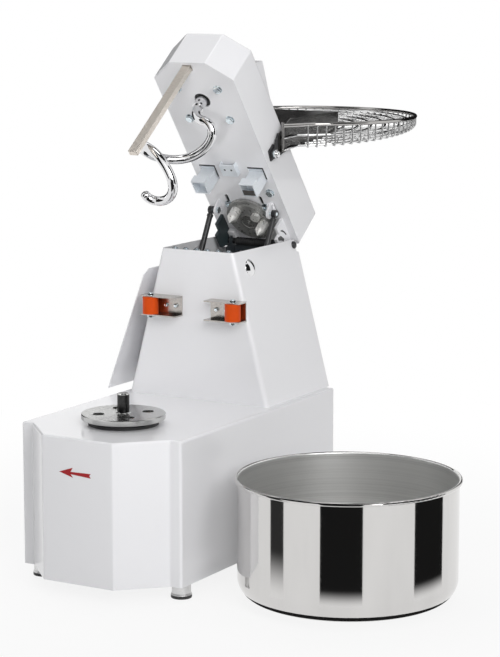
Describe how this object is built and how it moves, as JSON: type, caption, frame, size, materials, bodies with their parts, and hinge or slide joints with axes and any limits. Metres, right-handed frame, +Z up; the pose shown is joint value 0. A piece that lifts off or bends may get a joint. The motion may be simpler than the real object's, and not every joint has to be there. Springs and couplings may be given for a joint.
{
  "type": "spiral dough mixer",
  "caption": "Floor-standing spiral dough mixer with a tilting head, a spiral hook and breaker bar, a swing-back wire guard and a lift-off steel bowl.",
  "frame": {"origin": "on the floor under the axis of the bowl spindle", "axes": "+Z up, -Y to the front, +X to the right-hand side seen from the front"},
  "size_m": [0.9785, 1.2126, 1.1357],
  "materials": {
    "white_paint": "gloss white powder coat",
    "black_paint": "satin black paint",
    "stainless": "polished stainless steel",
    "chrome_steel": "bright chrome",
    "zinc": "zinc-plated steel",
    "machined_steel": "machined steel",
    "dark_steel": "oiled dark steel",
    "frame_steel": "dark painted steel",
    "cast_grey": "grey cast iron",
    "motor_grey": "grey enamel",
    "black_rubber": "black rubber",
    "orange_plastic": "orange polyurethane",
    "black_plastic": "black nylon",
    "green_plastic": "green push button",
    "red_plastic": "red push button",
    "bar_steel": "brushed stainless bar"
  },
  "bodies": {
    "frame": {"cabinet_shell": "white_paint", "floor_pan": "white_paint", "foot_stubs": "zinc", "foot_pads": "black_rubber", "column_shell": "white_paint", "rear_cover": "white_paint", "frame_plates": "frame_steel", "cross_plates": "frame_steel", "frame_bolts": "zinc", "frame_pins": "dark_steel", "hinge_sleeve": "black_plastic", "cap_bolts": "chrome_steel", "roller_brackets": "stainless", "shaft_housing": "cast_grey", "shaft_bearings": "machined_steel", "spindle_housing": "cast_grey", "spindle_seal": "black_rubber", "drive_motor": "motor_grey", "drive_belt": "black_rubber", "bowl_chain": "dark_steel", "electrical_box": "white_paint", "control_panel": "white_paint", "cable_gland": "black_plastic"},
    "roller_right": {"roller_right": "orange_plastic"},
    "roller_left": {"roller_left": "orange_plastic"},
    "drive_shaft": {"upright_shaft": "machined_steel", "lower_coupling": "machined_steel", "shaft_wheels": "cast_grey"},
    "motor_pulley": {"motor_pulley": "cast_grey"},
    "turntable": {"drive_plate": "machined_steel", "bowl_spindle": "dark_steel", "spindle_wheel": "machined_steel"},
    "head": {"head_cover": "white_paint", "head_plate": "white_paint", "spiral_housing": "cast_grey", "head_bearings": "machined_steel", "head_chain": "dark_steel", "head_bolts": "zinc", "dough_bar": "bar_steel", "bar_clamp": "black_plastic", "latch_blocks": "zinc", "striker_plate": "zinc", "ear_brackets": "white_paint", "head_hinge_plates": "frame_steel", "lift_grip": "white_paint", "guard_brackets": "black_paint"},
    "upper_coupling": {"upper_coupling": "machined_steel"},
    "spiral": {"spiral_shaft": "chrome_steel", "spiral_hook": "chrome_steel"},
    "guard": {"guard_rim": "chrome_steel", "guard_rings": "chrome_steel", "guard_spokes": "chrome_steel", "guard_wall": "stainless", "guard_straps": "black_paint"},
    "strut_tubes": {"strut_tubes": "black_paint"},
    "strut_rods": {"strut_rods": "chrome_steel"},
    "start_button": {"start_button": "green_plastic"},
    "stop_button": {"stop_button": "red_plastic"},
    "bowl": {"bowl_shell": "stainless", "bowl_base": "stainless"}
  },
  "joints": [
    {"name": "head_tilt", "type": "hinge", "parent": "frame", "child": "head", "pos_m": [0, 0.56, 0.6565], "axis": [1, 0, 0], "range_deg": [0, 52.4]},
    {"name": "guard_hinge", "type": "hinge", "parent": "head", "child": "guard", "pos_m": [0, 0.44965, 0.87191], "axis": [1, 0, 0], "range_deg": [0, 127.6]},
    {"name": "drive_spin", "type": "hinge", "parent": "frame", "child": "drive_shaft", "pos_m": [0, 0.497, 0.285], "axis": [0, 0, 1], "continuous": true},
    {"name": "motor_spin", "type": "hinge", "parent": "frame", "child": "motor_pulley", "pos_m": [0, 0.36, 0.285], "axis": [0, 0, 1], "continuous": true},
    {"name": "turntable_spin", "type": "hinge", "parent": "frame", "child": "turntable", "pos_m": [0, 0, 0.3605], "axis": [0, 0, 1], "continuous": true},
    {"name": "coupling_spin", "type": "hinge", "parent": "head", "child": "upper_coupling", "pos_m": [0, 0.53463, 0.71648], "axis": [0, 0.7923, 0.6101], "continuous": true},
    {"name": "spiral_spin", "type": "hinge", "parent": "head", "child": "spiral", "pos_m": [0, 0.32169, 0.99299], "axis": [0, 0.7923, 0.6101], "continuous": true},
    {"name": "strut_swing", "type": "hinge", "parent": "head", "child": "strut_tubes", "pos_m": [0, 0.49502, 0.73268], "axis": [1, 0, 0], "range_deg": [-55.05, 1]},
    {"name": "strut_slide", "type": "slide", "parent": "strut_tubes", "child": "strut_rods", "axis": [0, 0.4572, 0.8894], "range_m": [-0.001, 0.08912]},
    {"name": "roller_right_spin", "type": "hinge", "parent": "frame", "child": "roller_right", "pos_m": [0.105, 0.272, 0.543], "axis": [0, 0, 1], "continuous": true},
    {"name": "roller_left_spin", "type": "hinge", "parent": "frame", "child": "roller_left", "pos_m": [-0.105, 0.272, 0.543], "axis": [0, 0, 1], "continuous": true},
    {"name": "start_press", "type": "slide", "parent": "frame", "child": "start_button", "axis": [0.9386, 0, -0.345], "range_m": [0, 0.004], "stiffness_N_per_m": 600},
    {"name": "stop_press", "type": "slide", "parent": "frame", "child": "stop_button", "axis": [0.9386, 0, -0.345], "range_m": [0, 0.004], "stiffness_N_per_m": 600},
    {"name": "bowl_lift", "type": "slide", "parent": "frame", "child": "bowl", "axis": [0, 0, 1], "range_m": [0, 0.36]}
  ],
  "couplings": [
    {"joint": "motor_spin", "follows": "drive_spin", "ratio": 3},
    {"joint": "turntable_spin", "follows": "drive_spin", "ratio": 0.17},
    {"joint": "coupling_spin", "follows": "drive_spin", "ratio": 1},
    {"joint": "spiral_spin", "follows": "drive_spin", "ratio": 1},
    {"joint": "strut_swing", "follows": "head_tilt", "ratio": -1.0315},
    {"joint": "strut_slide", "follows": "head_tilt", "m_per_rad": 0.096358}
  ]
}
